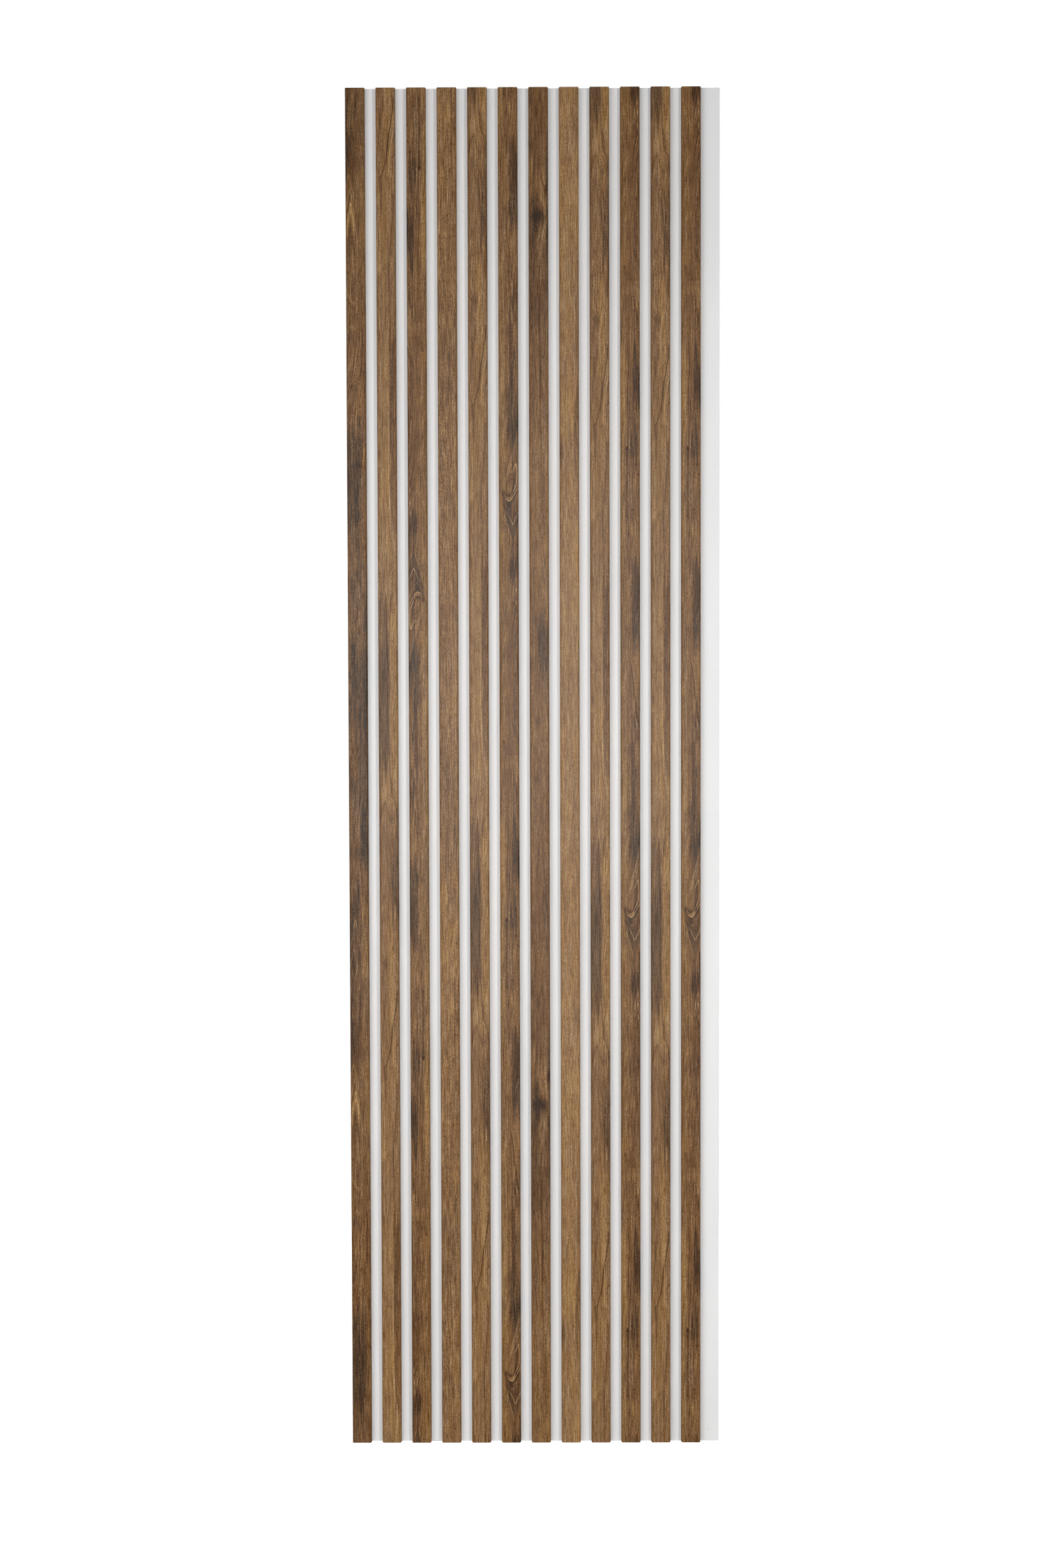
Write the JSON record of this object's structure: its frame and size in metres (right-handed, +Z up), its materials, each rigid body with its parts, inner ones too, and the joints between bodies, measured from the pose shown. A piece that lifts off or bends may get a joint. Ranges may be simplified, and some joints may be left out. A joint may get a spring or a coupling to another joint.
{
  "type": "slat wall panel",
  "caption": "Upright wall panel of wood-look slats with rounded edges, glued at an even pitch to a thin white-faced board that laps with the next panel.",
  "frame": {"origin": "centre of the backing board's back face, which lies against the wall", "axes": "+Z up along the slats, +X to the right across the wall as seen from the room, +Y into the wall, so the slats face -Y"},
  "size_m": [0.7116, 0.0165, 2.6],
  "materials": {
    "white_faced_board": "thin fibreboard with a matt white front face and a raw brown back",
    "walnut_decor": "fibreboard moulding wrapped in a matt walnut-look film, raw at its sawn ends"
  },
  "bodies": {
    "root": {"backing_board": "white_faced_board", "slat_01": "walnut_decor", "slat_02": "walnut_decor", "slat_03": "walnut_decor", "slat_04": "walnut_decor", "slat_05": "walnut_decor", "slat_06": "walnut_decor", "slat_07": "walnut_decor", "slat_08": "walnut_decor", "slat_09": "walnut_decor", "slat_10": "walnut_decor", "slat_11": "walnut_decor", "slat_12": "walnut_decor"}
  },
  "joints": []
}
